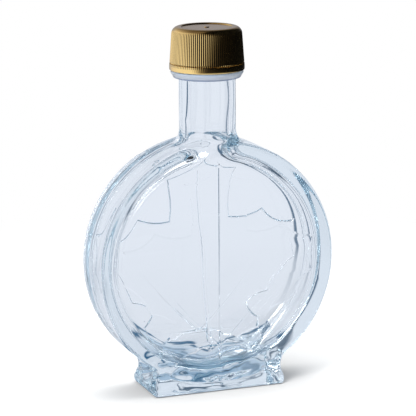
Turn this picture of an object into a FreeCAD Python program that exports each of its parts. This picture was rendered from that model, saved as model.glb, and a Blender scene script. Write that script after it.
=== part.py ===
import FreeCAD, Part
import math
import os

from FreeCAD import Vector

# A small flat round syrup flask of clear glass with a threaded plastic closure.
# Millimetres. X is the wide direction, Y the depth (front face at -Y), Z up.
# The origin is the middle of the underside of the foot.

# ---- glass body: a drum lying on its side ----
disc_radius = 46.7            # outside radius of the drum
disc_thickness = 23.9         # front face to back face
disc_lift = 2.8               # glass between the drum and the table
disc_edge_radius = 1.4        # rounding between each face and the rim
face_wall = 2.6               # glass in the two flat faces
rim_wall = 4.6                # glass in the rim
hollow_edge_radius = 4.5      # rounding inside, between face and rim

# ---- neck ----
neck_radius = 10.7
neck_wall = 2.75
shoulder_radius = 5.0         # concave blend from the neck to the rim
face_blend = 0.15             # how far the blend stays behind the drum's faces
blend_sections = 6

# ---- finish: what the closure grips ----
neck_length = 40.5            # top of the drum to the lip
finish_radius = 11.1          # outside of the glass under the closure
thread_depth = 0.9
thread_width = 1.8            # across the thread's root
thread_crest_width = 0.6
thread_pitch = 3.2
thread_turns = 1.25
thread_below_mouth = 3.0      # middle of the thread's first turn below the lip
lip_radius = 0.8              # rounding of the lip
collar_step = 0.45            # the collar's top edge lies this far inside the tamper band
collar_taper = 0.9            # how much smaller the collar is at its underside
collar_thickness = 2.7
collar_edge_radius = 0.5

# ---- foot: a solid glass block with four corner legs ----
foot_width = 53.2
foot_depth = 25.8
foot_waist = 0.9              # how far the block's sides draw in at half height
leg_edge_radius = 1.2         # upright edges of the corner legs
end_hollow_half_width = 8.6
end_hollow_depth = 3.8
face_hollow_half_width = 19.0
face_hollow_depth = 2.2
hollow_base_height = 2.6      # glass left under the hollows

# ---- leaf relief ----
back_relief = 0.5
front_relief = 0.2
relief_root = 0.6             # how deep the relief is rooted in the face
stem_half_width = 1.2
# Right half of a five-lobed leaf from its tip down to the stem, as shares of disc_radius.
leaf_half = ((0.00, 0.95), (0.10, 0.75), (0.34, 0.71), (0.265, 0.28), (0.56, 0.33), (0.71, 0.21),
             (0.87, 0.22), (0.80, 0.02), (0.84, -0.12), (0.60, -0.39), (0.42, -0.467),
             (0.52, -0.61), (0.53, -0.73), (0.33, -0.79), (0.20, -0.745), (0.08, -0.68))
stem_end = -0.90

# ---- closure: one moulding, shell and tamper band ----
closure_height = 16.1
closure_top_wall = 1.4
closure_seat_clearance = 0.3  # tamper band above the collar
finish_clearance = 0.35       # between the thread's crest and the skirt's inside
skirt_wall = 1.5              # over the ribs, at the slit
skirt_taper = 0.35            # how much smaller the skirt is where the ribs end
band_wall = 1.2
band_step = 0.3               # how far the tamper band stands outside the skirt
band_height = 3.0
closure_shoulder_width = 2.8
closure_shoulder_height = 2.9
rib_count = 108
rib_depth = 0.28
rib_margin = 0.4              # plain skirt left below and above the ribs
groove_share = 0.5            # share of the ribs' pitch that a groove takes
slit_height = 0.35
slit_depth = 0.55
bridge_count = 12
bridge_width = 1.0
bridge_root = 0.15            # how far the bridges run into the wall round the slit
bridge_recess = 0.15          # how far they stay inside the skirt
dish_margin = 1.1             # flat rim round a shallow dish in the top
dish_depth = 0.35
gate_mark_radius = 0.8
gate_mark_height = 0.25

# ---- working allowances ----
cutter_reach = 1.0            # how far a cutting body runs past what it cuts
tolerance = 0.01              # lengths nearer than this count as the same

# ---- what follows from these ----
disc_half = disc_thickness / 2
disc_height = disc_lift + disc_radius
mouth_height = disc_height + disc_radius + neck_length
foot_height = disc_height - math.sqrt(disc_radius ** 2 - (foot_width / 2) ** 2)
bore_radius = neck_radius - neck_wall
bore_shoulder_radius = shoulder_radius + neck_wall
thread_crest = finish_radius + thread_depth
closure_base = mouth_height + closure_top_wall - closure_height
closure_inside_radius = thread_crest + finish_clearance
skirt_radius = closure_inside_radius + skirt_wall
skirt_top_radius = skirt_radius - skirt_taper
band_radius = skirt_radius + band_step
closure_face_radius = skirt_top_radius - closure_shoulder_width
collar_top = closure_base - closure_seat_clearance
collar_base = collar_top - collar_thickness
collar_radius = band_radius - collar_step
ORIGIN = Vector(0, 0, 0)
UP = Vector(0, 0, 1)
BACK = Vector(0, 1, 0)


def turned(points):
    """Solid of revolution about the Z axis from a closed outline of (radius, height) corners."""
    corners = [Vector(radius, 0, z) for radius, z in points]
    wire = Part.makePolygon(corners + corners[:1])
    return Part.Face(wire).revolve(ORIGIN, UP, 360)


def drum(radius, half_thickness, edge_radius):
    """Disc standing on its rim, its axis along Y, with rounded edges."""
    body = Part.makeCylinder(radius, 2 * half_thickness, Vector(0, -half_thickness, disc_height), BACK)
    rims = [e for e in body.Edges if e.Closed]
    return body.makeFillet(edge_radius, rims)


def ellipse_wire(half_x, half_y, z):
    """Horizontal ellipse about the Z axis: a circle where both half widths are the same."""
    centre = Vector(0, 0, z)
    if abs(half_x - half_y) < tolerance:
        return Part.Wire([Part.makeCircle(half_x, centre)])
    major, minor = Vector(half_x, 0, z), Vector(0, half_y, z)
    if half_x < half_y:
        major, minor = minor, Vector(-half_x, 0, z)
    return Part.Wire([Part.Ellipse(major, minor, centre).toShape()])


def blend_height(tube_radius, blend_radius, rim_radius):
    """Height of the blend's centre above the drum's centre: it touches both the tube and the rim."""
    return math.sqrt((rim_radius + blend_radius) ** 2 - (tube_radius + blend_radius) ** 2)


def shoulder(tube_radius, blend_radius, rim_radius, half_thickness):
    """Trumpet from a round tube down into the drum's rim, just within the drum's faces."""
    centre_x = tube_radius + blend_radius
    centre_z = blend_height(tube_radius, blend_radius, rim_radius)
    foot_angle = math.atan2(centre_z, centre_x)
    deepest = max(half_thickness - face_blend, tube_radius + face_blend)
    wires = []
    for step in range(blend_sections + 1):
        angle = foot_angle * step / blend_sections
        half_x = centre_x - blend_radius * math.cos(angle)
        z = disc_height + centre_z - blend_radius * math.sin(angle)
        share = step / blend_sections
        half_y = tube_radius + (deepest - tube_radius) * share ** 2 * (3 - 2 * share)
        wires.append(ellipse_wire(half_x, half_y, z))
    root = wires[-1].copy()
    root.translate(Vector(0, 0, -blend_radius))
    return Part.makeLoft(wires, True).fuse(Part.makeLoft([wires[-1], root], True))


def necked_drum(rim_radius, half_thickness, edge_radius, tube_radius, blend_radius, top):
    """Drum, shoulder and tube as one body: the flask's outside, or its inside."""
    tube_base = disc_height + blend_height(tube_radius, blend_radius, rim_radius)
    tube = Part.makeCylinder(tube_radius, top - tube_base, Vector(0, 0, tube_base), UP)
    neck = shoulder(tube_radius, blend_radius, rim_radius, half_thickness).fuse(tube)
    return drum(rim_radius, half_thickness, edge_radius).fuse(neck)


def collar():
    """Glass ring under the closure, tapered towards the neck."""
    ring = turned([(0, collar_base), (collar_radius - collar_taper, collar_base),
                   (collar_radius, collar_top), (0, collar_top)])
    edges = [e for e in ring.Edges if e.Closed]
    return ring.makeFillet(collar_edge_radius, edges)


def thread():
    """Raised helical bead round the finish."""
    length = thread_turns * thread_pitch
    start = mouth_height - thread_below_mouth - length
    root = finish_radius - thread_depth / 2
    half = thread_width / 2
    helix = Part.makeHelix(thread_pitch, length, root)
    flat = thread_crest_width / 2
    section = Part.makePolygon([Vector(root, 0, -half), Vector(thread_crest, 0, -flat),
                                Vector(thread_crest, 0, flat), Vector(root, 0, half), Vector(root, 0, -half)])
    bead = Part.Wire(helix).makePipeShell([section], True, True)
    bead.translate(Vector(0, 0, start))
    return bead


def finish():
    """Glass under the closure, with a rounded lip and its thread."""
    stub = Part.makeCylinder(finish_radius, mouth_height - collar_base, Vector(0, 0, collar_base), UP)
    lip = [e for e in stub.Edges if e.Closed and e.BoundBox.ZMin > mouth_height - tolerance]
    return stub.makeFillet(lip_radius, lip).fuse(thread())


def waisted_prism(length, span, across):
    """Block that is length long, drawn in on two opposite sides by an arc, extruded across."""
    half = length / 2
    low_right, high_right = Vector(half, 0, 0), Vector(half, 0, foot_height)
    low_left, high_left = Vector(-half, 0, 0), Vector(-half, 0, foot_height)
    right_waist = Vector(half - foot_waist, 0, foot_height / 2)
    left_waist = Vector(foot_waist - half, 0, foot_height / 2)
    edges = [Part.makeLine(low_left, low_right), Part.Arc(low_right, right_waist, high_right).toShape(),
             Part.makeLine(high_right, high_left), Part.Arc(high_left, left_waist, low_left).toShape()]
    prism = Part.Face(Part.Wire(edges)).extrude(Vector(0, span, 0))
    prism.translate(Vector(0, -span / 2, 0))
    if across:
        prism.rotate(ORIGIN, UP, 90)
    return prism


def side_hollow(face_distance, half_width, depth):
    """Cutter for one side of the foot, deepest in the middle and at the top."""
    reach = (half_width ** 2 - depth ** 2) / (2 * depth)
    rise = foot_height - hollow_base_height
    arc_radius = (depth ** 2 + rise ** 2) / (2 * depth)
    middle = math.asin(rise / arc_radius) / 2
    low, high = Vector(reach, 0, hollow_base_height), Vector(reach + depth, 0, foot_height)
    between = Vector(reach + depth - arc_radius + arc_radius * math.cos(middle), 0,
                     foot_height - arc_radius * math.sin(middle))
    top, raised = Vector(0, 0, foot_height + cutter_reach), high + Vector(0, 0, cutter_reach)
    base = Vector(0, 0, hollow_base_height)
    outline = [Part.makeLine(base, low), Part.Arc(low, between, high).toShape(),
               Part.makeLine(high, raised), Part.makeLine(raised, top), Part.makeLine(top, base)]
    cutter = Part.Face(Part.Wire(outline)).revolve(ORIGIN, UP, 360)
    cutter.translate(Vector(face_distance + reach, 0, 0))
    return cutter


def foot():
    """Solid block with waisted sides, four corner legs and hollows between them."""
    wide = waisted_prism(foot_width, foot_depth, False)
    deep = waisted_prism(foot_depth, foot_width, True)
    block = wide.common(deep)
    half_width = foot_width / 2 - foot_waist
    half_depth = foot_depth / 2 - foot_waist
    upright = [e for e in block.Edges
               if e.BoundBox.ZLength > foot_height / 2 and abs(e.CenterOfMass.x) > half_width - foot_waist]
    block = block.makeFillet(leg_edge_radius, upright)
    for angle in (0, 180):
        cutter = side_hollow(half_width, end_hollow_half_width, end_hollow_depth)
        cutter.rotate(ORIGIN, UP, angle)
        block = block.cut(cutter)
    for angle in (90, 270):
        cutter = side_hollow(half_depth, face_hollow_half_width, face_hollow_depth)
        cutter.rotate(ORIGIN, UP, angle)
        block = block.cut(cutter)
    return block


def leaf(height, side):
    """Five-lobed leaf with its stem, raised from the front (side -1) or the back (side 1) face."""
    half = [Vector(x * disc_radius, 0, z * disc_radius) for x, z in leaf_half]
    half += [Vector(stem_half_width, 0, half[-1].z), Vector(stem_half_width, 0, stem_end * disc_radius)]
    mirrored = [Vector(-p.x, 0, p.z) for p in reversed(half) if p.x > 0]
    outline = half + mirrored
    face = Part.Face(Part.makePolygon(outline + outline[:1]))
    plate = face.extrude(Vector(0, side * (height + relief_root), 0))
    plate.translate(Vector(0, side * (disc_half - relief_root), disc_height))
    return plate


def bottle():
    """The whole glass: body, neck, finish, foot and relief, hollow to the mouth."""
    glass = necked_drum(disc_radius, disc_half, disc_edge_radius, neck_radius, shoulder_radius, collar_base)
    for piece in (collar(), finish(), foot(), leaf(back_relief, 1), leaf(front_relief, -1)):
        glass = glass.fuse(piece)
    inside = necked_drum(disc_radius - rim_wall, disc_half - face_wall, hollow_edge_radius,
                         bore_radius, bore_shoulder_radius, mouth_height + cutter_reach)
    return glass.cut(inside).removeSplitter()


def closure_shell():
    """Outside of the closure, still solid: band, tapered skirt, rounded shoulder, dished top."""
    top = closure_base + closure_height
    band_top = closure_base + band_height
    skirt_top = top - closure_shoulder_height
    lean = skirt_top_radius - closure_face_radius
    diagonal = math.sqrt(0.5)
    shoulder_mid = Vector(closure_face_radius + lean * diagonal, 0,
                          skirt_top + closure_shoulder_height * diagonal)
    base = Vector(0, 0, closure_base)
    corners = [base, Vector(band_radius, 0, closure_base),
               Vector(band_radius, 0, band_top - slit_height), Vector(skirt_radius, 0, band_top),
               Vector(skirt_top_radius, 0, skirt_top)]
    edges = [Part.makeLine(a, b) for a, b in zip(corners, corners[1:])]
    face_edge = Vector(closure_face_radius, 0, top)
    edges.append(Part.Arc(corners[-1], shoulder_mid, face_edge).toShape())
    edges.append(Part.makeLine(face_edge, Vector(0, 0, top)))
    edges.append(Part.makeLine(Vector(0, 0, top), base))
    shell = Part.Face(Part.Wire(edges)).revolve(ORIGIN, UP, 360)
    dish_floor = Vector(0, 0, top - dish_depth)
    dish = Part.makeCylinder(closure_face_radius - dish_margin, dish_depth, dish_floor, UP)
    gate_mark = Part.makeCylinder(gate_mark_radius, gate_mark_height, dish_floor, UP)
    return shell.cut(dish).fuse(gate_mark)


def rib_grooves():
    """Upright grooves between the ribs of the skirt, as one compound of boxes centred on its surface."""
    low = closure_base + band_height + rib_margin
    high = closure_base + closure_height - closure_shoulder_height - rib_margin
    width = 2 * math.pi * skirt_top_radius / rib_count * groove_share
    reach = 2 * rib_depth
    lean = math.degrees(math.atan(skirt_taper / (closure_height - closure_shoulder_height - band_height)))
    cutters = []
    for number in range(rib_count):
        groove = Part.makeBox(reach, width, high - low, Vector(skirt_radius - rib_depth, -width / 2, low))
        groove.rotate(Vector(skirt_radius, 0, low), BACK, -lean)
        groove.rotate(ORIGIN, UP, 360 * number / rib_count)
        cutters.append(groove)
    return Part.makeCompound(cutters)


def slit():
    """Ring-shaped cutter between band and skirt."""
    z = closure_base + band_height - slit_height
    ring = Part.makeCylinder(band_radius + cutter_reach, slit_height, Vector(0, 0, z), UP)
    return ring.cut(Part.makeCylinder(skirt_radius - slit_depth, slit_height, Vector(0, 0, z), UP))


def bridges():
    """Blocks across the slit, rooted in the wall round it, that tear when it is first opened."""
    low = closure_base + band_height - slit_height - bridge_root
    inner_radius = skirt_radius - slit_depth - bridge_root
    blocks = []
    for number in range(bridge_count):
        block = Part.makeBox(slit_depth + bridge_root - bridge_recess, bridge_width,
                             slit_height + 2 * bridge_root, Vector(inner_radius, -bridge_width / 2, low))
        block.rotate(ORIGIN, UP, 360 * (number + 0.5) / bridge_count)
        blocks.append(block)
    return blocks


def closure():
    """The closure: shell with ribs and slit, hollow over the finish."""
    base = Vector(0, 0, closure_base)
    hollow = Part.makeCylinder(closure_inside_radius, mouth_height - closure_base, base, UP)
    relief = Part.makeCylinder(band_radius - band_wall, band_height - slit_height, base, UP)
    shell = closure_shell().cut(rib_grooves()).cut(slit()).fuse(bridges())
    return shell.cut(hollow.fuse(relief))


os.makedirs("parts", exist_ok=True)
for name, shape in (("bottle", bottle()), ("cap", closure())):
    box = shape.BoundBox
    print(name, "valid", shape.isValid(), "solids", len(shape.Solids), "faces", len(shape.Faces),
          "volume", round(shape.Volume), "box", [round(v, 2) for v in
          (box.XMin, box.YMin, box.ZMin, box.XMax, box.YMax, box.ZMax)])
    shape.exportStep("parts/" + name + ".step")
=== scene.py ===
"""Looks of a flat round syrup flask: clear moulded glass, gold ribbed closure, plain studio."""

import logging
import math
from collections.abc import Callable, Sequence
from dataclasses import dataclass, field
from enum import Enum

import bmesh
import bpy
from mathutils import Matrix, Vector

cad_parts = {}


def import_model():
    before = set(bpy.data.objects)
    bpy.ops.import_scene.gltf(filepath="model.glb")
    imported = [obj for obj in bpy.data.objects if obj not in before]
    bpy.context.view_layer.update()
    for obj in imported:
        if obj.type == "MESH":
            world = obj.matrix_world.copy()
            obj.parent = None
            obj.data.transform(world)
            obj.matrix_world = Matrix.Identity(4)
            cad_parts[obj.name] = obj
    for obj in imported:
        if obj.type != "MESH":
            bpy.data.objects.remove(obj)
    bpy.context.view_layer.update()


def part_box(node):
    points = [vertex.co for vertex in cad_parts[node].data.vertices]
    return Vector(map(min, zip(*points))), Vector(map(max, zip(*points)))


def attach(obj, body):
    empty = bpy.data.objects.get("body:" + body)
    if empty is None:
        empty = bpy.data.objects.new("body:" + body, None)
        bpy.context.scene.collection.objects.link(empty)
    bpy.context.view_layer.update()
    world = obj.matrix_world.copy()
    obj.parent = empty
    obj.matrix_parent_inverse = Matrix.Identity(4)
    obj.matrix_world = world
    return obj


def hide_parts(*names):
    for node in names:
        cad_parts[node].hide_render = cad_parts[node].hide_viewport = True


log = logging.getLogger("flask")
MM = 0.001
SMOOTH_BELOW = math.radians(35)    # edges that turn less than this are shaded smooth
BOUNCES = 24                       # thick glass keeps light inside for many turns

Piece = bpy.types.Object
Tree = bpy.types.NodeTree
Socket = bpy.types.NodeSocket
Pair = tuple[float, float]
Stop = tuple[float, str]           # a place and the sRGB hex colour there


class Join(Enum):
    """How one closed body changes another."""

    ADD = "UNION"
    CUT = "DIFFERENCE"


class Face(Enum):
    """The flask's two flat faces, by the sign of their Y."""

    FRONT = -1
    BACK = 1


# ---------------------------------------------------------------- shared tools


def linear(hex_colour: str) -> tuple[float, float, float, float]:
    """Turn an sRGB hex colour into linear light.

    Args:
        hex_colour: six hex digits, such as "c8a860".

    Returns:
        Red, green, blue and an alpha of 1, in linear light.
    """
    parts = [int(hex_colour[i:i + 2], 16) / 255 for i in (0, 2, 4)]
    return (*(p / 12.92 if p <= 0.04045 else ((p + 0.055) / 1.055) ** 2.4 for p in parts), 1.0)


def add_node(tree: Tree, kind: str, settings: dict | None = None, inputs: dict | None = None,
             stops: Sequence[Stop] = ()) -> bpy.types.Node:
    """Add one shader node with its settings, values, links and, if it is a colour ramp, its stops.

    Args:
        tree: the node tree that gets the node.
        kind: the node's type, such as "Math", without its ShaderNode prefix.
        settings: properties of the node by name.
        inputs: values, or sockets to link, by input name or index.
        stops: a colour ramp's stops; the first one has the lowest place.

    Returns:
        The new node.
    """
    node = tree.nodes.new("ShaderNode" + kind)
    for key, value in (settings or {}).items():
        setattr(node, key, value)
    for key, value in (inputs or {}).items():
        if isinstance(value, Socket):
            tree.links.new(value, node.inputs[key])
        else:
            node.inputs[key].default_value = value
    if stops:
        elements = node.color_ramp.elements
        elements.remove(elements[-1])
        for number, (place, colour) in enumerate(stops):
            stop = elements.new(place) if number else elements[0]
            stop.position = place
            stop.color = linear(colour)
    return node


def new_material(name: str) -> bpy.types.Material:
    """Make a material with an empty node tree.

    Args:
        name: the material's name.

    Returns:
        The new material.
    """
    material = bpy.data.materials.new(name)
    material.use_nodes = True
    material.node_tree.nodes.clear()
    return material


def select_only(piece: Piece) -> None:
    """Make one object the only selected one, and the active one.

    Args:
        piece: the object.
    """
    bpy.ops.object.select_all(action="DESELECT")
    piece.select_set(True)
    bpy.context.view_layer.objects.active = piece


def place_in_mesh(piece: Piece) -> None:
    """Move an object's place, turn and scale into its mesh."""
    select_only(piece)
    bpy.ops.object.transform_apply(location=True, rotation=True, scale=True)


def select_points(piece: Piece, wanted: Callable[[Vector], bool]) -> None:
    """Enter edit mode with only the wanted points of a mesh selected.

    Args:
        piece: the mesh object.
        wanted: says of a point's place whether it is selected.
    """
    select_only(piece)
    bpy.ops.object.mode_set(mode="EDIT")
    bpy.ops.mesh.select_mode(type="VERT")
    bpy.ops.mesh.select_all(action="DESELECT")
    mesh = bmesh.from_edit_mesh(piece.data)
    for vertex in mesh.verts:
        vertex.select = wanted(vertex.co)
    mesh.select_flush(True)
    bmesh.update_edit_mesh(piece.data)


def bevel_edges(piece: Piece, wanted: Callable[[Vector, Vector], bool], width: float,
                segments: int) -> None:
    """Round some edges of a mesh.

    Args:
        piece: the mesh object.
        wanted: says of the places of an edge's two ends whether the edge is rounded.
        width: how far the rounding reaches to each side of the edge.
        segments: number of flat strips that make the rounding.
    """
    select_only(piece)
    bpy.ops.object.mode_set(mode="EDIT")
    bpy.ops.mesh.select_mode(type="EDGE")
    bpy.ops.mesh.select_all(action="DESELECT")
    mesh = bmesh.from_edit_mesh(piece.data)
    for line in mesh.edges:
        line.select = wanted(line.verts[0].co, line.verts[1].co)
    bmesh.update_edit_mesh(piece.data)
    bpy.ops.mesh.bevel(offset=width, segments=segments, affect="EDGES")
    bpy.ops.object.mode_set(mode="OBJECT")


def soften(piece: Piece, wanted: Callable[[Vector], bool], times: int) -> None:
    """Smooth one region of a mesh.

    Args:
        piece: the mesh object.
        wanted: says of a point's place whether it is smoothed.
        times: number of smoothing rounds.
    """
    select_points(piece, wanted)
    bpy.ops.mesh.vertices_smooth(factor=0.5, repeat=times)
    bpy.ops.object.mode_set(mode="OBJECT")


def apply_modifier(piece: Piece, kind: str, **settings: object) -> None:
    """Add a modifier to a piece, set it and apply it.

    Args:
        piece: the mesh object.
        kind: the modifier's type, such as "REMESH".
        settings: the modifier's properties by name.
    """
    select_only(piece)
    modifier = piece.modifiers.new(kind.lower(), kind)
    for key, value in settings.items():
        setattr(modifier, key, value)
    bpy.ops.object.modifier_apply(modifier=modifier.name)


def combine(piece: Piece, tool: Piece, how: Join) -> None:
    """Add a closed body to a piece, or cut it out, and use the body up.

    Args:
        piece: the closed piece that is changed.
        tool: the closed body.
        how: whether the body is added or cut out.
    """
    apply_modifier(piece, "BOOLEAN", object=tool, operation=how.value, solver="MANIFOLD")
    bpy.data.objects.remove(tool)


def close_and_orient(piece: Piece) -> None:
    """Merge doubled points and turn all faces outwards.

    Args:
        piece: the mesh object.
    """
    select_only(piece)
    bpy.ops.object.mode_set(mode="EDIT")
    bpy.ops.mesh.select_all(action="SELECT")
    bpy.ops.mesh.remove_doubles(threshold=0.001 * MM)
    bpy.ops.mesh.normals_make_consistent(inside=False)
    bpy.ops.object.mode_set(mode="OBJECT")


@dataclass(frozen=True)
class Ring:
    """One level of a stacked body: half width, half depth, height, and a shift along X."""

    half_x: float
    half_y: float
    z: float
    shift: float = 0.0


def round_rings(profile: list[Pair]) -> list[Ring]:
    """Turn a list of (radius, height) into round rings."""
    return [Ring(radius, radius, z) for radius, z in profile]


def stack_rings(name: str, rings: list[Ring], corners: int = 128) -> Piece:
    """Build a closed body upwards from a flat ring by extruding it and resizing each new ring.

    Args:
        name: name of the new object.
        rings: the levels, from the lowest up.
        corners: number of points round a ring; four make a block.

    Returns:
        The new closed body.
    """
    first = rings[0]
    start = (first.shift, 0, first.z)
    bpy.ops.object.select_all(action="DESELECT")
    if corners == 4:
        bpy.ops.mesh.primitive_plane_add(size=2.0, location=start)
    else:
        bpy.ops.mesh.primitive_circle_add(vertices=corners, radius=1.0, fill_type="NGON", location=start)
    piece = bpy.context.object
    piece.name = name
    piece.scale = (first.half_x, first.half_y, 1)
    place_in_mesh(piece)
    bpy.ops.object.mode_set(mode="EDIT")
    bpy.ops.mesh.select_all(action="SELECT")
    for last, new in zip(rings, rings[1:]):
        bpy.ops.mesh.extrude_region_move(
            TRANSFORM_OT_translate={"value": (new.shift - last.shift, 0, new.z - last.z)})
        bpy.ops.transform.resize(value=(new.half_x / last.half_x, new.half_y / last.half_y, 1),
                                 center_override=(new.shift, 0, new.z))
    bpy.ops.object.mode_set(mode="OBJECT")
    close_and_orient(piece)
    return piece


def hand_over(piece: Piece, node: str, material: bpy.types.Material) -> None:
    """Dress a finished piece and let it stand for its construction node.

    Args:
        piece: the finished piece.
        node: the construction node that it replaces.
        material: the finish.
    """
    select_only(piece)
    bpy.ops.object.shade_smooth_by_angle(angle=SMOOTH_BELOW)
    piece.data.materials.clear()
    piece.data.materials.append(material)
    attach(piece, "root")
    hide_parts(node)


# ---------------------------------------------------------------- finishes


@dataclass(frozen=True)
class FlintGlass:
    """Soda-lime bottle glass, pressed and blown: fire-polished, clear, pale blue where it is thick."""

    name: str = "flint_glass"
    bend: float = 1.52
    absorbed: tuple[float, float, float] = (5.5, 3.3, 2.3)    # share lost per metre: red, green, blue
    shadow_tint: str = "98a0a8"                               # what a lamp keeps at each surface

    def skin(self, tree: Tree) -> Socket:
        """Make the polished surface, which bends light and mirrors it sharply.

        Args:
            tree: the node tree.

        Returns:
            The surface shader's socket.
        """
        polished = add_node(tree, "BsdfPrincipled", {}, {
            "Base Color": linear("ffffff"), "Roughness": 0.0, "IOR": self.bend, "Transmission Weight": 1.0})
        return polished.outputs[0]

    def material(self) -> bpy.types.Material:
        """Build the glass: its skin round an absorbing body, which lamps shine through.

        Returns:
            The material.
        """
        made = new_material(self.name)
        tree = made.node_tree
        shadow = add_node(tree, "BsdfTransparent", {}, {"Color": linear(self.shadow_tint)})
        path = add_node(tree, "LightPath")
        mix = add_node(tree, "MixShader", {}, {
            0: path.outputs["Is Shadow Ray"], 1: self.skin(tree), 2: shadow.outputs[0]})
        density = max(self.absorbed)
        passed = tuple(1 - share / density for share in self.absorbed)
        body = add_node(tree, "VolumeAbsorption", {}, {"Color": (*passed, 1), "Density": density})
        add_node(tree, "OutputMaterial", {}, {"Surface": mix.outputs[0], "Volume": body.outputs[0]})
        return made


@dataclass(frozen=True)
class LinedFlintGlass(FlintGlass):
    """The same glass under mould lines too fine to model: blurred, slightly milky, with painted shade in
    deeper blue along its low edge.
    """

    name: str = "lined_flint_glass"
    roughness: float = 0.3
    milky: float = 0.55                  # share of the light that it scatters
    scattered: str = "d3dcea"
    edge_shade: str = "5c78aa"             # painted shade: deeper blue along its lower edge
    edge: Pair = (0.0, 0.7 * MM)         # heights between which that painted shade fades out

    def skin(self, tree: Tree) -> Socket:
        """Make the lined surface, which blurs and scatters light.

        Args:
            tree: the node tree.

        Returns:
            The surface shader's socket.
        """
        low, high = self.edge
        where = add_node(tree, "TexCoord")
        height = add_node(tree, "SeparateXYZ", {}, {0: where.outputs["Object"]}).outputs[2]
        above = add_node(tree, "MapRange", {}, {"Value": height, "From Min": low, "From Max": high})
        # painted shade: the colour turns deeper blue towards the collar's lower edge
        edge_shaded = add_node(tree, "Mix", {"data_type": "RGBA"}, {
            "Factor": above.outputs["Result"], 6: linear(self.edge_shade), 7: linear(self.scattered)})
        lined = add_node(tree, "BsdfPrincipled", {}, {
            "Base Color": edge_shaded.outputs[2], "Roughness": self.roughness, "IOR": self.bend,
            "Transmission Weight": 1.0 - self.milky})
        return lined.outputs[0]


@dataclass(frozen=True)
class BarePlastic:
    """The closure's own polypropylene where no metal reaches it: milky white, satin from the mould."""

    colour: str = "f2f1ec"
    satin: Pair = (0.35, 0.5)            # roughness of its smoother and its duller patches
    patch: float = 4 * MM

    def material(self) -> bpy.types.Material:
        """Build the bare plastic.

        Returns:
            The material.
        """
        made = new_material("white_polypropylene")
        tree = made.node_tree
        where = add_node(tree, "TexCoord")
        patches = add_node(tree, "TexNoise", {}, {"Vector": where.outputs["Object"], "Scale": 1 / self.patch})
        sheen = add_node(tree, "MapRange", {}, {
            "Value": patches.outputs["Fac"], "To Min": self.satin[0], "To Max": self.satin[1]})
        plastic = add_node(tree, "BsdfPrincipled", {}, {
            "Base Color": linear(self.colour), "Roughness": sheen.outputs["Result"], "IOR": 1.49})
        add_node(tree, "OutputMaterial", {}, {"Surface": plastic.outputs[0]})
        return made


@dataclass(frozen=True)
class GoldPlastic:
    """Moulded polypropylene, vacuum metallised and lacquered gold: a soft, slightly uneven mirror."""

    colour: str = "f4d48e"
    groove_shade: str = "1e1408"               # painted shade: dark brown between the ribs, where the grooves fall into shade
    shade_span: Pair = (-0.2, -0.9)            # where the painted shade starts and is full: 1 is a crest, -1 a groove
    ribs: tuple[int, float, float] = (108, 0.0, 1.0)    # their number, and the heights they run between
    roughness: float = 0.13
    mottle: float = 3.0 * MM             # size of the lacquer's uneven patches
    grain: float = 0.35 * MM             # drawn coarser than the real orange peel so that it shows

    def shade_grooves(self, tree: Tree, where: Socket) -> Socket:
        """Colour of the lacquer, with painted shade in dark brown between the ribs.

        Args:
            tree: the node tree.
            where: object coordinates.

        Returns:
            The colour's socket.
        """
        count, low, high = self.ribs
        parts = add_node(tree, "SeparateXYZ", {}, {0: where})
        turn = add_node(tree, "Math", {"operation": "ARCTAN2"}, {0: parts.outputs[1], 1: parts.outputs[0]})
        phase = add_node(tree, "Math", {"operation": "MULTIPLY"}, {0: turn.outputs[0], 1: float(count)})
        wave = add_node(tree, "Math", {"operation": "COSINE"}, {0: phase.outputs[0]})
        groove_shaded = add_node(tree, "MapRange", {"interpolation_type": "SMOOTHSTEP"}, {
            "Value": wave.outputs[0], "From Min": self.shade_span[0], "From Max": self.shade_span[1]})
        above = add_node(tree, "Math", {"operation": "GREATER_THAN"}, {0: parts.outputs[2], 1: low})
        below = add_node(tree, "Math", {"operation": "LESS_THAN"}, {0: parts.outputs[2], 1: high})
        share = add_node(tree, "Math", {"operation": "MULTIPLY"}, {0: above.outputs[0], 1: below.outputs[0]})
        share = add_node(tree, "Math", {"operation": "MULTIPLY"}, {0: share.outputs[0], 1: groove_shaded.outputs[0]})
        # painted shade: the lacquer is mixed towards dark brown in the grooves
        mix = add_node(tree, "Mix", {"data_type": "RGBA"}, {
            "Factor": share.outputs[0], 6: linear(self.colour), 7: linear(self.groove_shade)})
        return mix.outputs[2]

    def material(self) -> bpy.types.Material:
        """Build the lacquered metal.

        Returns:
            The material.
        """
        made = new_material("gold_metallised_plastic")
        tree = made.node_tree
        where = add_node(tree, "TexCoord").outputs["Object"]
        patches = add_node(tree, "TexNoise", {}, {"Vector": where, "Scale": 1 / self.mottle, "Detail": 3.0})
        sheen = add_node(tree, "MapRange", {}, {
            "Value": patches.outputs["Fac"],
            "To Min": self.roughness - 0.04, "To Max": self.roughness + 0.06})
        peel = add_node(tree, "TexNoise", {}, {"Vector": where, "Scale": 1 / self.grain, "Detail": 2.0})
        bump = add_node(tree, "Bump", {}, {
            "Height": peel.outputs["Fac"], "Strength": 0.015, "Distance": 0.02 * MM})
        gold = add_node(tree, "BsdfPrincipled", {}, {
            "Base Color": self.shade_grooves(tree, where), "Metallic": 1.0, "Roughness": sheen.outputs["Result"],
            "Coat Weight": 0.6, "Coat Roughness": 0.1, "Normal": bump.outputs["Normal"]})
        add_node(tree, "OutputMaterial", {}, {"Surface": gold.outputs[0]})
        return made


# ---------------------------------------------------------------- glass


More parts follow.
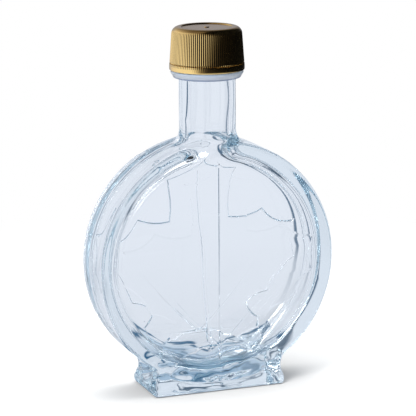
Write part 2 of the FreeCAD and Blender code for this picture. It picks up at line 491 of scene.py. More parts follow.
@dataclass
class LeafRelief:
    """A five-lobed leaf with its veins, raised from one of the flask's faces."""

    face: Face
    height: float
    bevel: float                       # radius of the rounded edge; a larger one slopes more gently
    reach: float                       # radius of the face that it is drawn on
    centre: float                      # height of the face's middle
    face_y: float                      # how far the face is from the middle of the flask
    midrib: tuple[Pair, Pair]          # its ends, from the top down to the stem's end
    midrib_height: float               # how far the midrib stands above the leaf
    midrib_radius: float
    vein_radius: float = 0.7 * MM
    vein_height: float = 0.12 * MM
    vein_taper: tuple[float, float, float] = (1.0, 0.92, 0.8)    # width at its start, middle and end
    bow: float = 0.09                  # how far each side of the outline sags, as a share of its length
    bow_steps: int = 5
    # Right half of the outline from the tip down, as shares of the reach.
    outline: tuple[Pair, ...] = (
        (0.00, 0.88), (0.10, 0.75), (0.34, 0.71), (0.265, 0.28), (0.56, 0.33), (0.71, 0.21),
        (0.87, 0.22), (0.84, -0.12), (0.60, -0.39), (0.42, -0.467),
        (0.52, -0.61), (0.53, -0.73), (0.33, -0.79), (0.20, -0.745), (0.08, -0.68))
    vein_base: Pair = (0.0, -0.68)
    vein_tips: tuple[Pair, ...] = ((0.70, 0.16), (0.46, -0.68))
    vein_middle: Pair = (0.55, 0.42)   # shares of its way across and up at which a side vein's middle lies

    def flat_points(self) -> list[Pair]:
        """Work out the closed outline, each of its sides bowed inwards.

        Returns:
            Its points in metres, across and up from the face's middle.
        """
        half = [(x * self.reach, z * self.reach) for x, z in self.outline]
        corners = half + [(-x, z) for x, z in reversed(half) if x > 0]
        points = []
        for (x, z), (next_x, next_z) in zip(corners, corners[1:] + corners[:1]):
            for step in range(self.bow_steps):
                share = step / self.bow_steps
                sag = 4 * self.bow * share * (1 - share)
                points.append((x + (next_x - x) * share + sag * (next_z - z),
                               z + (next_z - z) * share - sag * (next_x - x)))
        return points

    def draw(self, name: str, kind: str, points: Sequence[Pair], **settings: object) -> Piece:
        """Draw a curve flat, with the face's middle at the origin.

        Args:
            name: name of the new object.
            kind: the type of its spline, such as "NURBS".
            points: the spline's points, in metres.
            settings: the curve's properties by name.

        Returns:
            The curve's object.
        """
        drawing = bpy.data.curves.new(name, "CURVE")
        for key, value in settings.items():
            setattr(drawing, key, value)
        line = drawing.splines.new(kind)
        line.points.add(len(points) - 1)
        for point, (x, z) in zip(line.points, points):
            point.co = (x, z, 0, 1)
        drawn = bpy.data.objects.new(name, drawing)
        bpy.context.scene.collection.objects.link(drawn)
        return drawn

    def stand_up(self, drawn: Piece, sunk: float) -> Piece:
        """Make a drawn curve a mesh, stand it up and set it on the face.

        Args:
            drawn: the curve's object.
            sunk: how far its middle plane lies below the leaf's surface.

        Returns:
            The same object, now a closed mesh.
        """
        select_only(drawn)
        bpy.ops.object.convert(target="MESH")
        drawn.rotation_euler = (math.pi / 2, 0, 0)
        drawn.location = (0, self.face.value * (self.face_y + self.height - sunk), self.centre)
        place_in_mesh(drawn)
        close_and_orient(drawn)
        return drawn

    def plate(self) -> Piece:
        """Make the leaf's raised surface with bevelled edges.

        Returns:
            The closed plate, set on the face.
        """
        leaf = self.draw("leaf", "POLY", self.flat_points(), dimensions="2D", fill_mode="BOTH",
                         bevel_depth=self.bevel, bevel_resolution=6, offset=-self.bevel)
        leaf.data.splines[0].use_cyclic_u = True
        return self.stand_up(leaf, self.bevel)

    def ridge(self, route: list[Pair], stands: float, radius: float) -> Piece:
        """Make a rounded ridge that tapers towards its end.

        Args:
            route: three points across and up from the face's middle, as shares of the reach.
            stands: how far the ridge stands above the leaf.
            radius: radius of its rounded back.

        Returns:
            The closed ridge, set on the face.
        """
        points = [(x * self.reach, z * self.reach) for x, z in route]
        vein = self.draw("vein", "NURBS", points, dimensions="3D", bevel_depth=radius,
                         bevel_resolution=3, resolution_u=16, use_fill_caps=True)
        line = vein.data.splines[0]
        for point, width in zip(line.points, self.vein_taper):
            point.radius = width
        line.order_u = 3
        line.use_endpoint_u = True
        return self.stand_up(vein, radius - stands)

    def veins(self) -> list[Piece]:
        """Make the midrib, which runs on as the stem, and the ridges from the leaf's base to its tips.

        Returns:
            The closed ridges, set on the face.
        """
        (top_x, top_z), (end_x, end_z) = self.midrib
        middle = ((top_x + end_x) / 2, (top_z + end_z) / 2)
        made = [self.ridge([(end_x, end_z), middle, (top_x, top_z)], self.midrib_height, self.midrib_radius)]
        base_x, base_z = self.vein_base
        across, up = self.vein_middle
        for tip_x, tip_z in self.vein_tips:
            for side in (1, -1):
                middle = (base_x + across * (side * tip_x - base_x), base_z + up * (tip_z - base_z))
                made.append(self.ridge([(base_x, base_z), middle, (side * tip_x, tip_z)],
                                       self.vein_height, self.vein_radius))
        return made

    def raise_on(self, glass: Piece) -> None:
        """Raise plate and veins on the glass.

        Args:
            glass: the closed glass.
        """
        combine(glass, self.plate(), Join.ADD)
        for vein in self.veins():
            combine(glass, vein, Join.ADD)


@dataclass(frozen=True)
class Scoop:
    """A rounded hollow in two opposite sides of the foot."""

    beyond: float                              # how far its middle lies outside the side
    z: float                                   # height of its middle
    radii: tuple[float, float, float]


@dataclass
class Flask:
    """The glass: a drum on its rim, a neck, a block foot, and the hollow inside."""

    disc_radius: float = 46.7 * MM
    disc_half: float = 11.95 * MM
    disc_lift: float = 2.8 * MM
    edge_radius: float = 1.4 * MM
    face_wall: float = 2.6 * MM
    rim_wall: float = 4.6 * MM
    hollow_edge: float = 4.5 * MM
    neck_radius: float = 10.7 * MM
    neck_wall: float = 2.75 * MM
    neck_steps: int = 14               # rings in the blend at its base, and again in the tube
    neck_inset: float = 0.1 * MM       # keeps the blend's foot inside the drum's faces
    shoulder_radius: float = 5.0 * MM
    foot_half_width: float = 26.6 * MM
    foot_half_depth: float = 12.9 * MM
    foot_overlap: float = 1 * MM       # how far the foot runs up into the drum
    # share of the foot's height, and how far its ends are pinched in there, in millimetres
    foot_levels: tuple[Pair, ...] = (
        (0.0, 0.3), (0.06, 0.0), (0.2, 0.15), (0.36, 0.8), (0.52, 1.3), (0.68, 1.2), (0.84, 0.7), (1.0, 0.2))
    foot_pinch_depth: float = 0.8      # how far its faces are pinched in, as a share of that
    end_scoop: Scoop = Scoop(3.9 * MM, 10.2 * MM, (9.2 * MM, 9.4 * MM, 8.2 * MM))
    face_scoop: Scoop = Scoop(1.6 * MM, 8.2 * MM, (23 * MM, 6.2 * MM, 6.4 * MM))
    leg_edge: float = 1.2 * MM
    collar_radius: float = 13.7 * MM
    collar_height: float = 2.7 * MM
    collar_gap: float = 0.3 * MM       # running clearance under the closure
    neck_in_collar: float = 1.2 * MM   # how far the plain neck runs up inside the collar
    cut_above_lip: float = 2 * MM      # the bore's cutter runs out above the lip
    collar_margin: float = 0.1 * MM    # how far its blurred finish runs on above and below it
    collar_edge: Pair = (0.3 * MM, 1.0 * MM)    # where its painted shade, a deeper blue along the lower edge, starts to fade, and where it ends
    grip_radius: float = 11.1 * MM
    back_relief: Pair = (0.7 * MM, 1.3 * MM)    # height, and radius of the edge
    front_relief: Pair = (0.18 * MM, 1.9 * MM)
    back_midrib: tuple[Pair, Pair] = ((0.0, 0.70), (0.085, -0.84))    # the mould sits askew
    front_midrib: tuple[Pair, Pair] = ((0.0, 0.79), (0.0, -0.80))
    back_ridge: Pair = (0.4 * MM, 0.9 * MM)     # how far the midrib stands out, and its radius
    front_ridge: Pair = (0.35 * MM, 0.55 * MM)
    outer_voxel: float = 0.65 * MM
    inner_voxel: float = 0.85 * MM
    skin_rounds: int = 5               # smoothing rounds: the whole outside, where the foot joins,
    joint_rounds: int = 10             # where the neck joins, and the hollow
    shoulder_rounds: int = 25
    hollow_rounds: int = 12
    bore_sway: float = 0.6 * MM        # how far the bore wanders sideways, as blown necks do
    sway_pace: float = 1.25            # above 1, the sway is over before the tube's end
    sway_pinch: float = 0.3            # how much narrower the bore is there, as a share of the sway
    ripple: Pair = (0.3 * MM, 15 * MM)          # unevenness of the inside: depth and width
    base_ripple: Pair = (1.3 * MM, 11 * MM)     # near the bottom, where thick glass cooled last
    base_ripple_end: Pair = (26 * MM, 14 * MM)  # the height where that ends, and over which it fades
    foot_ripple: Pair = (1.1 * MM, 6.0 * MM)
    foot_fine: Pair = (0.3 * MM, 2.6 * MM)
    foot_ripple_ends: tuple[Pair, Pair] = ((0.4 * MM, 2 * MM), (13 * MM, 5 * MM))
    bubbles: tuple[tuple[float, float, float, float], ...] = (
        (-43.6, -3.0, 62.0, 0.35), (31.0, -10.7, 81.0, 0.25), (-20.0, 10.6, 88.0, 0.25),
        (12.0, -10.6, 20.5, 0.3), (-30.0, -10.8, 30.0, 0.2))    # place and radius in millimetres

    @property
    def centre(self) -> float:
        """Height of the drum's centre."""
        return self.disc_lift + self.disc_radius

    @property
    def junction(self) -> float:
        """Height at which the drum's rim meets the foot's ends."""
        return self.centre - math.sqrt(self.disc_radius ** 2 - self.foot_half_width ** 2)

    def drum(self, name: str, radius: float, half: float, edge: float) -> Piece:
        """Make a disc standing on its rim, with rounded edges.

        Args:
            name: name of the new object.
            radius: radius of the rim.
            half: half of the thickness.
            edge: rounding between the faces and the rim.

        Returns:
            The closed disc.
        """
        bpy.ops.object.select_all(action="DESELECT")
        bpy.ops.mesh.primitive_cylinder_add(vertices=256, radius=radius, depth=2 * half,
                                            location=(0, 0, self.centre), rotation=(math.pi / 2, 0, 0))
        piece = bpy.context.object
        piece.name = name
        place_in_mesh(piece)
        bevel_edges(piece, lambda start, end: start.y * end.y > 0, edge, 6)
        return piece

    def neck(self, name: str, tube: float, blend: float, rim: float, half: float, top: float,
             sway: float = 0.0) -> Piece:
        """Make a round tube that widens at its base into the drum's rim.

        Args:
            name: name of the new object.
            tube: radius of the tube.
            blend: radius of the concave blend at its base.
            rim: radius of the rim it runs into.
            half: half depth of the drum it runs into.
            top: height of the tube's end.
            sway: how far the tube's middle wanders to one side; it is a little narrower there.

        Returns:
            The closed tube.
        """
        centre_x = tube + blend
        centre_z = math.sqrt((rim + blend) ** 2 - centre_x ** 2)
        low_angle = math.atan2(centre_z, centre_x)
        rings = []
        for step in range(self.neck_steps, -1, -1):
            share = step / self.neck_steps
            angle = low_angle * share
            deep = tube + (half - self.neck_inset - tube) * share * share * (3 - 2 * share)
            rings.append(Ring(centre_x - blend * math.cos(angle), deep,
                              self.centre + centre_z - blend * math.sin(angle)))
        rings.insert(0, Ring(rings[0].half_x, rings[0].half_y, rings[0].z - 2 * blend))
        start = rings[-1].z
        for step in range(1, self.neck_steps + 1):
            share = step / self.neck_steps
            wave = math.sin(math.pi * min(1.0, self.sway_pace * share)) ** 2
            radius = tube - self.sway_pinch * sway * wave
            rings.append(Ring(radius, radius, start + (top - start) * share, sway * wave))
        return stack_rings(name, rings)

    def scoop_out(self, piece: Piece, x: float, y: float, scoop: Scoop) -> None:
        """Cut one rounded hollow out of the foot.

        Args:
            piece: the closed foot.
            x: place of the hollow's middle across.
            y: its place in depth.
            scoop: its height and size.
        """
        bpy.ops.object.select_all(action="DESELECT")
        bpy.ops.mesh.primitive_uv_sphere_add(segments=64, ring_count=32, radius=1, location=(x, y, scoop.z))
        ball = bpy.context.object
        ball.scale = scoop.radii
        place_in_mesh(ball)
        combine(piece, ball, Join.CUT)

    def foot(self) -> Piece:
        """Make the block foot with pinched corner legs, and hollows scooped between them.

        Returns:
            The closed foot.
        """
        height = self.junction + self.foot_overlap
        piece = stack_rings("foot", [
            Ring(self.foot_half_width - pinch * MM,
                 self.foot_half_depth - self.foot_pinch_depth * pinch * MM, share * height)
            for share, pinch in self.foot_levels], corners=4)
        bevel_edges(piece, lambda start, end: abs(start.z - end.z) > 0.1 * MM, self.leg_edge, 4)
        for side in (-1, 1):
            self.scoop_out(piece, side * (self.foot_half_width + self.end_scoop.beyond), 0, self.end_scoop)
            self.scoop_out(piece, 0, side * (self.foot_half_depth + self.face_scoop.beyond), self.face_scoop)
        return piece

    def at_foot_joint(self, place: Vector) -> bool:
        """Say whether a place is where the foot's ends run into the drum."""
        return abs(place.x) > 0.8 * self.foot_half_width and 7 * MM < place.z < self.junction + 8 * MM

    def at_shoulder(self, place: Vector) -> bool:
        """Say whether a place is where the neck's sides run into the drum."""
        from_top = place.z - (self.centre + self.disc_radius)
        return -9 * MM < from_top < 6 * MM and 6 * MM < abs(place.x) < 24 * MM

    def in_foot(self, place: Vector) -> float:
        """Say how much of the foot's unevenness a place takes."""
        (low, rise), (high, fall) = self.foot_ripple_ends
        return min((place.z - low) / rise, (high - place.z) / fall)

    def near_base(self, place: Vector) -> float:
        """Say how much of the unevenness near the bottom of the hollow a place takes."""
        return (self.base_ripple_end[0] - place.z) / self.base_ripple_end[1]

    def outside(self, neck_top: float) -> Piece:
        """Make the glass's outer skin as one flowing closed body.

        Args:
            neck_top: height at which the plain neck ends.

        Returns:
            The closed body.
        """
        piece = self.drum("bottle_glass", self.disc_radius, self.disc_half, self.edge_radius)
        tube = self.neck("neck", self.neck_radius, self.shoulder_radius, self.disc_radius, self.disc_half,
                         neck_top)
        combine(piece, tube, Join.ADD)
        combine(piece, self.foot(), Join.ADD)
        apply_modifier(piece, "REMESH", mode="VOXEL", voxel_size=self.outer_voxel)
        soften(piece, lambda place: True, self.skin_rounds)
        soften(piece, self.at_foot_joint, self.joint_rounds)
        for ripple in (self.foot_ripple, self.foot_fine):
            self.wave(piece, *ripple, self.in_foot)
        soften(piece, self.at_shoulder, self.shoulder_rounds)
        return piece

    def inside(self, top: float) -> Piece:
        """Make the hollow as one smooth, slightly uneven closed body.

        Args:
            top: height at which the hollow's cutter ends.

        Returns:
            The closed body.
        """
        radius, half = self.disc_radius - self.rim_wall, self.disc_half - self.face_wall
        piece = self.drum("hollow", radius, half, self.hollow_edge)
        tube = self.neck("bore", self.neck_radius - self.neck_wall, self.shoulder_radius + self.neck_wall,
                         radius, half, top, self.bore_sway)
        combine(piece, tube, Join.ADD)
        apply_modifier(piece, "REMESH", mode="VOXEL", voxel_size=self.inner_voxel)
        soften(piece, lambda place: True, self.hollow_rounds)
        self.wave(piece, *self.ripple, lambda place: 1.0)
        self.wave(piece, *self.base_ripple, self.near_base)
        return piece

    def wave(self, piece: Piece, depth: float, width: float, share: Callable[[Vector], float]) -> None:
        """Make a surface uneven, as glass that flowed into its mould is.

        Args:
            piece: the object.
            depth: from crest to hollow.
            width: from crest to crest.
            share: how much of it a place takes; cut off below 0 and above 1.
        """
        group = piece.vertex_groups.new(name="flow")
        for vertex in piece.data.vertices:
            group.add([vertex.index], min(1.0, max(0.0, share(vertex.co))), "REPLACE")
        clouds = bpy.data.textures.new("flow", "CLOUDS")
        clouds.noise_scale = width
        clouds.noise_depth = 0
        apply_modifier(piece, "DISPLACE", texture=clouds, texture_coords="LOCAL", strength=depth,
                       mid_level=0.5, vertex_group=group.name)
        piece.vertex_groups.clear()

    def finish(self, collar_base: float, collar_top: float, mouth: float) -> Piece:
        """Make the collar under the closure, and the glass that the closure grips.

        Args:
            collar_base: height of the collar's underside.
            collar_top: height of its top edge.
            mouth: height of the lip.

        Returns:
            The closed body.
        """
        inner = self.neck_radius - 0.5 * MM
        low = self.collar_radius - 0.9 * MM
        high = self.collar_radius
        return stack_rings("finish", round_rings([
            (inner, collar_base - 4 * MM), (inner, collar_base - 0.1 * MM),
            (self.neck_radius + 0.35 * MM, collar_base), (low - 0.55 * MM, collar_base + 0.05 * MM),
            (low - 0.15 * MM, collar_base + 0.2 * MM), (low, collar_base + 0.5 * MM),
            (high - 0.1 * MM, collar_top - 0.9 * MM), (high, collar_top - 0.55 * MM),
            (high - 0.08 * MM, collar_top - 0.25 * MM), (high - 0.35 * MM, collar_top),
            (self.grip_radius, collar_top), (self.grip_radius, mouth - 0.6 * MM),
            (self.grip_radius - 0.2 * MM, mouth - 0.2 * MM), (self.grip_radius - 0.6 * MM, mouth)]))

    def seed_bubbles(self, glass: Piece) -> None:
        """Leave a few tiny bubbles in the glass, as pressed glass has.

        Args:
            glass: the closed glass.
        """
        for x, y, z, radius in self.bubbles:
            bpy.ops.object.select_all(action="DESELECT")
            bpy.ops.mesh.primitive_ico_sphere_add(subdivisions=2, radius=radius * MM,
                                                  location=(x * MM, y * MM, z * MM))
            bubble = bpy.context.object
            place_in_mesh(bubble)
            combine(glass, bubble, Join.CUT)

    def build(self) -> Piece:
        """Build the whole glass between the heights that the frame gives.

        Returns:
            The finished glass.
        """
        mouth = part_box("bottle")[1].z
        collar_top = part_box("cap")[0].z - self.collar_gap
        collar_base = collar_top - self.collar_height
        piece = self.outside(collar_base + self.neck_in_collar)
        for face, relief, midrib, ridge in (
                (Face.BACK, self.back_relief, self.back_midrib, self.back_ridge),
                (Face.FRONT, self.front_relief, self.front_midrib, self.front_ridge)):
            leaf = LeafRelief(face, *relief, self.disc_radius, self.centre, self.disc_half, midrib, *ridge)
            leaf.raise_on(piece)
        combine(piece, self.finish(collar_base, collar_top, mouth), Join.ADD)
        combine(piece, self.inside(mouth + self.cut_above_lip), Join.CUT)
        self.seed_bubbles(piece)
        return piece

    def dress(self, piece: Piece) -> None:
        """Give the glass its finish: clear, but blurred by fine mould lines round the collar.

        Args:
            piece: the finished glass.
        """
        hand_over(piece, "bottle", FlintGlass().material())
        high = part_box("cap")[0].z - self.collar_gap + self.collar_margin
        low = high - self.collar_height - 2 * self.collar_margin
        fade_from, fade_to = self.collar_edge
        collar = LinedFlintGlass(edge=(low + fade_from, low + fade_to))
        piece.data.materials.append(collar.material())
        for polygon in piece.data.polygons:
            place = polygon.center
            if low < place.z < high and math.hypot(place.x, place.y) > self.neck_radius + 0.5 * MM:
                polygon.material_index = 1


# ---------------------------------------------------------------- closure


@dataclass
class Closure:
    """Screw closure: tamper band, slit with fine bridges, ribbed skirt, rounded shoulder, dished top."""

    band_radius: float = 14.15 * MM
    band_height: float = 3.0 * MM
    band_wall: float = 1.2 * MM
    skirt_radius: float = 14.0 * MM
    skirt_top_radius: float = 13.3 * MM
    inside_radius: float = 12.35 * MM
    top_wall: float = 1.4 * MM
    slit_height: float = 0.45 * MM
    slit_depth: float = 0.2 * MM
    tick_depth: float = 0.35 * MM      # gaps between the bridges across the slit
    knurl_depth: float = 0.07 * MM     # fine knurl on the band's upper half
    knurl_base: float = 1.4 * MM       # height on the band at which it starts
    groove_shade_base: float = 1.6 * MM       # from here up painted shade darkens the lacquer between the ribs
    rib_count: int = 108
    rib_depth: float = 0.16 * MM
    rib_margin: float = 0.15 * MM
    rib_run_out: float = 1.5 * MM      # the ribs fade out this far below the top
    rib_sharpness: float = 1.5         # above 1, the crests are wider than the grooves
    shoulder_height: float = 2.9 * MM
    shoulder_steps: int = 10
    face_radius: float = 10.7 * MM
    dish_radius: float = 9.6 * MM
    dish_depth: float = 0.35 * MM
    gate_radius: float = 0.8 * MM
    gate_height: float = 0.25 * MM
    columns: int = 6                   # points of a ring in each rib's pitch

    def profile(self, base: float, top: float) -> list[Pair]:
        """Work out the outside, from its lower edge to the middle of its top.

        Args:
            base: height of the lower edge.
            top: height of the top.

        Returns:
            Radius and height of each ring.
        """
        band_top = base + self.band_height - self.slit_height
        skirt_base = base + self.band_height
        skirt_top = top - self.shoulder_height
        fall = self.skirt_radius - self.skirt_top_radius
        length = skirt_top - skirt_base
        low, high = skirt_base + self.rib_margin, skirt_top - 0.5 * self.rib_margin
        slit_radius = self.skirt_radius - self.slit_depth
        rings = [(self.band_radius - 0.25 * MM, base), (self.band_radius - 0.08 * MM, base + 0.08 * MM),
                 (self.band_radius, base + 0.25 * MM), (self.band_radius, base + 1.3 * MM),
                 (self.band_radius - 0.05 * MM, band_top - 0.2 * MM), (self.band_radius - 0.2 * MM, band_top),
                 (slit_radius, band_top + 0.02 * MM), (slit_radius, skirt_base - 0.02 * MM),
                 (self.skirt_radius - 0.12 * MM, skirt_base), (self.skirt_radius, skirt_base + 0.12 * MM)]
        for z in (low - 0.15 * MM, low + 0.1 * MM, high - 0.1 * MM, high + 0.15 * MM):
            rings.append((self.skirt_radius - fall * (z - skirt_base) / length, z))
        width = self.skirt_top_radius - self.face_radius
        for step in range(1, self.shoulder_steps + 1):
            angle = math.pi / 2 * step / self.shoulder_steps
            rings.append((self.face_radius + width * math.cos(angle),
                          skirt_top + self.shoulder_height * math.sin(angle)))
        rings += [(self.dish_radius + 0.15 * MM, top), (self.dish_radius, top - 0.1 * MM),
                  (self.dish_radius - 0.15 * MM, top - self.dish_depth),
                  (self.gate_radius + 0.2 * MM, top - self.dish_depth),
                  (self.gate_radius, top - self.dish_depth + self.gate_height)]
        return rings

    def press_columns(self, piece: Piece, low: float, high: float, depth: float) -> None:
        """Press rounded grooves into the wall between two heights.

        Args:
            piece: the closure.
            low: lowest height of the points that are pressed.
            high: highest height.
            depth: how far the middle of a groove is pressed towards the axis.
        """
        turn = 2 * math.pi / (self.rib_count * self.columns)
        for number in range(1, self.columns):
            select_points(piece, lambda place: low < place.z < high
                          and round(math.atan2(place.y, place.x) / turn) % self.columns == number)
            wave = 0.5 - 0.5 * math.cos(2 * math.pi * number / self.columns)
            share = 1 - depth * wave ** self.rib_sharpness / self.skirt_radius
            bpy.ops.transform.resize(value=(share, share, 1), center_override=(0, 0, 0))
            bpy.ops.object.mode_set(mode="OBJECT")

    def build(self) -> Piece:
        """Build the closure in the box that the frame gives it.

        Returns:
            The finished closure.
        """
        base, top = (corner.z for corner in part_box("cap"))
        piece = stack_rings("closure", round_rings(self.profile(base, top)), self.rib_count * self.columns)
        skirt_base = base + self.band_height
        slit_base = skirt_base - self.slit_height
        self.press_columns(piece, skirt_base + self.rib_margin, top - self.rib_run_out, self.rib_depth)
        self.press_columns(piece, slit_base, skirt_base - 0.01 * MM, self.tick_depth)
        self.press_columns(piece, base + self.knurl_base, slit_base + 0.01 * MM, self.knurl_depth)
        band_inside = self.band_radius - self.band_wall
        hollow = stack_rings("hollow", round_rings([
            (band_inside, base - 1 * MM), (band_inside, skirt_base - 1 * MM),
            (self.inside_radius, skirt_base), (self.inside_radius, top - self.top_wall)]))
        combine(piece, hollow, Join.CUT)
        return piece

    def dress(self, piece: Piece) -> None:
        """Give the closure its gold outside and bare inside.

        Args:
            piece: the finished closure.
        """
        base, top = (corner.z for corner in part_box("cap"))
        ribs = (self.rib_count, base + self.groove_shade_base, top - self.rib_run_out)
        hand_over(piece, "cap", GoldPlastic(ribs=ribs).material())
        piece.data.materials.append(BarePlastic().material())
        under_top = top - 0.6 * self.top_wall
        inner_radius = self.band_radius - 0.9 * self.band_wall
        for polygon in piece.data.polygons:
            place, facing = polygon.center, polygon.normal
            inward = place.x * facing.x + place.y * facing.y < 0
            within = math.hypot(place.x, place.y) < inner_radius and place.z < under_top
            if within and (inward or facing.z < -0.5):
                polygon.material_index = 1


# ---------------------------------------------------------------- studio


@dataclass(frozen=True)
class Surround:
    """What stands round the table: pale panels with darker gaps, by compass angle from +Y towards +X."""

    gaps: tuple[Pair, ...] = (          # middle in degrees, and width as a share of the usual one
        (-150.0, 1.0), (-90.0, 1.0), (-34.0, 0.8), (44.0, 0.7), (90.0, 0.8), (118.0, 1.0))
    gap_half_width: float = 3.5
    gap_shoulder: float = 3.5           # over which the gap fades into the panel
    pale: str = "e5ebf5"
    gap: str = "2a5474"
    # what gold and blurred glass mirror, by compass angle
    mirrored: tuple[Stop, ...] = (
        (-180, "24211e"), (-158, "2e2a28"), (-140, "7a746a"), (-124, "dcd8d0"), (-113, "ffffff"),
        (-60, "ffffff"), (-25, "ece6de"), (0, "a8a6a4"), (25, "9494a0"), (48, "101216"), (140, "08090c"),
        (165, "161412"))
    # what the panels, and what is mirrored, are multiplied by, from level, 0, to straight up, 1
    through_rise: tuple[Stop, ...] = (
        (0.0, "ffffff"), (0.36, "ffffff"), (0.42, "5c7080"), (0.5, "5c7080"), (0.58, "ffffff"))
    mirrored_rise: tuple[Stop, ...] = (
        (0.0, "ffffff"), (0.35, "fffcf8"), (0.62, "c0b8b0"), (0.88, "70665c"))

    def through(self) -> list[Stop]:
        """What glass shows, through it and in its polish: pale panels with a dark gap between each pair.

        Returns:
            Angle in degrees and colour of each stop.
        """
        stops = [(-180.0, self.pale)]
        for middle, width in self.gaps:
            inner = self.gap_half_width * width
            outer = inner + self.gap_shoulder * width
            stops += [(middle - outer, self.pale), (middle - inner, self.gap),
                      (middle + inner, self.gap), (middle + outer, self.pale)]
        return stops


@dataclass(frozen=True)
class SoftBox:
    """A rectangular lamp."""

    name: str
    centre: tuple[float, float, float]
    size: Pair                          # width and height
    power: float                        # watts

    def hang(self, at: Vector) -> None:
        """Hang the lamp.

        Args:
            at: the point it faces.
        """
        data = bpy.data.lights.new(self.name, "AREA")
        data.shape = "RECTANGLE"
        data.size, data.size_y = self.size
        data.energy = self.power
        lamp = bpy.data.objects.new(self.name, data)
        lamp.location = self.centre
        lamp.rotation_euler = (at - Vector(self.centre)).to_track_quat("-Z", "Y").to_euler()
        lamp.visible_glossy = False     # mirrors show the surround instead
        bpy.context.scene.collection.objects.link(lamp)


@dataclass(frozen=True)
class Viewpoint:
    """The camera: a little to the left and above, looking slightly down."""

    turn: float = 20.6                  # degrees round to the left
    pitch: float = 12.38                # degrees down
    roll: float = 0.41                  # degrees
    distance: float = 0.8325
    height: float = 0.2514
    lens: float = 194.4                 # millimetres, for a sensor 36 wide

    def set_up(self) -> None:
        """Stand the camera and make it the scene's own."""
        turn, pitch, roll = (math.radians(angle) for angle in (self.turn, self.pitch, self.roll))
        eye = Vector((-self.distance * math.sin(turn), -self.distance * math.cos(turn), self.height))
        ahead = Vector((math.sin(turn) * math.cos(pitch), math.cos(turn) * math.cos(pitch), -math.sin(pitch)))
        data = bpy.data.cameras.new("camera")
        data.sensor_width = 36
        data.lens = self.lens
        data.clip_start, data.clip_end = 0.01, 50
        camera = bpy.data.objects.new("camera", data)
        facing = ahead.to_track_quat("-Z", "Y").to_matrix().to_4x4()
        camera.matrix_world = Matrix.Translation(eye) @ facing @ Matrix.Rotation(-roll, 4, "Z")
        bpy.context.scene.collection.objects.link(camera)
        bpy.context.scene.camera = camera


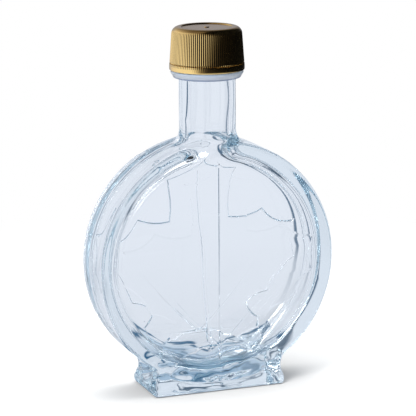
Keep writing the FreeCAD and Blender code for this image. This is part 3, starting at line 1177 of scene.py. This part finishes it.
@dataclass
class Studio:
    """White floor and sky, soft lamps and the camera."""

    surround: Surround = field(default_factory=Surround)
    viewpoint: Viewpoint = field(default_factory=Viewpoint)
    lamps: tuple[SoftBox, ...] = (
        SoftBox("key", (-0.9, -0.7, 1.0), (0.5, 0.9), 14), SoftBox("top", (0.1, 0.1, 1.3), (0.9, 0.9), 12))
    lit_height: float = 0.07            # the lamps face the middle of the flask
    # dark rings on the floor that only the glass shows: radius, half width, and the floor's tint beside them,
    # a painted blue light that is bluer towards the middle
    dark_rings: tuple[tuple[float, float, str], ...] = (
        (0.0105, 0.0005, "9cc8e8"), (0.0160, 0.0004, "aad0f0"), (0.0205, 0.0006, "bad8f4"),
        (0.029, 0.0013, "d4e8fc"), (0.049, 0.0024, "e0eaf6"))
    ring_blue: str = "1c6088"
    ring_fade: float = 1.8              # a ring has faded out at this many of its half widths
    ringed_out_to: float = 0.060
    ringed_paint: float = 0.26          # how much lamplight the ringed floor returns
    ringed_glow: float = 0.55           # and how brightly it glows: a painted glow, standing in for light that the glass carries into its own shadow
    floor_white: float = 0.84
    floor_glow: float = 0.08
    near: float = 0.08                  # out to here the lamps light the floor
    far: float = 0.30                   # and from here on it is as bright as the surround

    def ring_colour(self, tree: Tree, direction: Socket, stops: Sequence[Stop]) -> Socket:
        """Colour of the surround by compass angle.

        Args:
            tree: the node tree.
            direction: a vector whose X and Y give the compass angle.
            stops: angle in degrees and colour of each stop.

        Returns:
            The colour's socket.
        """
        parts = add_node(tree, "SeparateXYZ", {}, {0: direction})
        turn = add_node(tree, "Math", {"operation": "ARCTAN2"}, {0: parts.outputs[0], 1: parts.outputs[1]})
        share = add_node(tree, "Math", {"operation": "MULTIPLY_ADD"}, {
            0: turn.outputs[0], 1: 0.5 / math.pi, 2: 0.5})
        ramp = add_node(tree, "ValToRGB", {}, {0: share.outputs[0]},
                        [((angle + 180) / 360, colour) for angle, colour in stops])
        return ramp.outputs["Color"]

    def split_rays(self, tree: Tree, diffuse: Socket, seen: Socket, through: Socket,
                   mirrored: Socket) -> Socket:
        """Show one shader to the camera, one through glass, one in mirrors, and one to all else.

        Args:
            tree: the node tree.
            diffuse: shader for diffuse light.
            seen: shader that the camera sees.
            through: shader that refracted rays see.
            mirrored: shader that reflected rays see.

        Returns:
            The combined shader's socket.
        """
        path = add_node(tree, "LightPath")
        gold = add_node(tree, "MixShader", {}, {0: path.outputs["Is Glossy Ray"], 1: diffuse, 2: mirrored})
        # a refracted ray counts as glossy too, and only glass mirrors sharply, so these tests come last
        sharp = add_node(tree, "Math", {"operation": "MAXIMUM"}, {
            0: path.outputs["Is Transmission Ray"], 1: path.outputs["Is Singular Ray"]})
        glass = add_node(tree, "MixShader", {}, {0: sharp.outputs[0], 1: gold.outputs[0], 2: through})
        return add_node(tree, "MixShader", {}, {
            0: path.outputs["Is Camera Ray"], 1: glass.outputs[0], 2: seen}).outputs[0]

    def rings(self) -> list[Stop]:
        """Dark rings that only the glass shows, on the floor round the foot.

        Returns:
            Distance from the middle in metres and colour of each stop.
        """
        pale = self.surround.pale
        stops = [(0.0, self.dark_rings[0][2]), (1.0, pale), (self.ringed_out_to, pale)]
        for middle, half_width, beside in self.dark_rings:
            faded = self.ring_fade * half_width
            stops += [(middle - faded, beside), (middle - half_width, self.ring_blue),
                      (middle + half_width, self.ring_blue), (middle + faded, beside)]
        return stops

    def ringed(self, tree: Tree, distance: Socket) -> Socket:
        """Make the near floor as only the glass shows it: dimly lamp-lit, with a painted blue glow for the
        light that the glass carries into its shadow.

        Args:
            tree: the node tree.
            distance: distance from the middle in metres.

        Returns:
            The shader's socket.
        """
        inlay = add_node(tree, "ValToRGB", {}, {0: distance}, self.rings()).outputs["Color"]
        tinted = add_node(tree, "Mix", {"data_type": "RGBA", "blend_type": "MULTIPLY"}, {
            "Factor": 1.0, 6: inlay, 7: (*[self.ringed_paint] * 3, 1)})
        dull = add_node(tree, "BsdfDiffuse", {}, {"Color": tinted.outputs[2]})
        # painted light: under the glass the floor glows blue, though it is no lamp
        painted_glow = add_node(tree, "Emission", {}, {"Color": inlay, "Strength": self.ringed_glow})
        return add_node(tree, "AddShader", {}, {0: dull.outputs[0], 1: painted_glow.outputs[0]}).outputs[0]

    def floor(self) -> None:
        """Lay a pale floor that stays white but keeps the flask's shadow."""
        bpy.ops.object.select_all(action="DESELECT")
        bpy.ops.mesh.primitive_plane_add(size=8, location=(0, 0, -0.2 * MM))
        floor = bpy.context.object
        floor.name = "floor"
        made = new_material("white_floor")
        tree = made.node_tree
        where = add_node(tree, "TexCoord").outputs["Object"]
        distance = add_node(tree, "VectorMath", {"operation": "LENGTH"}, {0: where}).outputs["Value"]
        fade = add_node(tree, "MapRange", {"interpolation_type": "SMOOTHSTEP"}, {
            "Value": distance, "From Min": self.near, "From Max": self.far}).outputs["Result"]
        matt = add_node(tree, "BsdfDiffuse", {}, {"Color": (*[self.floor_white] * 3, 1)})
        white = add_node(tree, "Emission", {}, {"Color": (1, 1, 1, 1), "Strength": 1.0})
        glow = add_node(tree, "Emission", {}, {"Color": (1, 1, 1, 1), "Strength": self.floor_glow})
        close = add_node(tree, "AddShader", {}, {0: matt.outputs[0], 1: glow.outputs[0]})
        seen = add_node(tree, "MixShader", {}, {0: fade, 1: close.outputs[0], 2: white.outputs[0]}).outputs[0]
        shown = []
        for stops, near in ((self.surround.through(), self.ringed(tree, distance)),
                            (self.surround.mirrored, seen)):
            ring = self.ring_colour(tree, where, stops)
            lit = add_node(tree, "Emission", {}, {"Color": ring, "Strength": 1.0})
            shown.append(add_node(tree, "MixShader", {}, {0: fade, 1: near, 2: lit.outputs[0]}).outputs[0])
        surface = self.split_rays(tree, matt.outputs[0], seen, *shown)
        add_node(tree, "OutputMaterial", {}, {"Surface": surface})
        floor.data.materials.append(made)

    def sky(self) -> None:
        """Surround: white where it is seen, panels and gaps where glass and gold catch it."""
        world = bpy.data.worlds.new("studio")
        bpy.context.scene.world = world
        world.use_nodes = True
        tree = world.node_tree
        tree.nodes.clear()
        where = add_node(tree, "TexCoord").outputs["Generated"]
        height = add_node(tree, "SeparateXYZ", {}, {0: where}).outputs[2]
        shown = []
        for stops, rise in ((self.surround.through(), self.surround.through_rise),
                            (self.surround.mirrored, self.surround.mirrored_rise)):
            ring = self.ring_colour(tree, where, stops)
            lift = add_node(tree, "ValToRGB", {}, {0: height}, rise)
            colour = add_node(tree, "Mix", {"data_type": "RGBA", "blend_type": "MULTIPLY"}, {
                "Factor": 1.0, 6: ring, 7: lift.outputs["Color"]})
            lit = add_node(tree, "Background", {}, {"Color": colour.outputs[2], "Strength": 1.0})
            shown.append(lit.outputs[0])
        seen = add_node(tree, "Background", {}, {"Color": (1, 1, 1, 1), "Strength": 1.0})
        fill = add_node(tree, "Background", {}, {"Color": (0.95, 0.98, 1, 1), "Strength": 0.6})
        surface = self.split_rays(tree, fill.outputs[0], seen.outputs[0], *shown)
        add_node(tree, "OutputWorld", {}, {"Surface": surface})

    def build(self) -> None:
        """Set up floor, sky, lamps and camera."""
        self.floor()
        self.sky()
        for lamp in self.lamps:
            lamp.hang(Vector((0, 0, self.lit_height)))
        self.viewpoint.set_up()


def main() -> None:
    """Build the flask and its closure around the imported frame, then the studio."""
    logging.basicConfig(level=logging.INFO, format="%(name)s: %(message)s")
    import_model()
    scene = bpy.context.scene
    scene.view_settings.view_transform = "Standard"
    scene.cycles.max_bounces = BOUNCES
    scene.cycles.transmission_bounces = BOUNCES
    scene.cycles.glossy_bounces = BOUNCES
    scene.cycles.transparent_max_bounces = BOUNCES
    scene.cycles.caustics_reflective = False
    scene.cycles.caustics_refractive = False
    for part in (Flask(), Closure()):
        piece = part.build()
        part.dress(piece)
        piece.data.calc_loop_triangles()
        log.info("%s: %d triangles", piece.name, len(piece.data.loop_triangles))
    Studio().build()


if __name__ == "__main__":
    main()
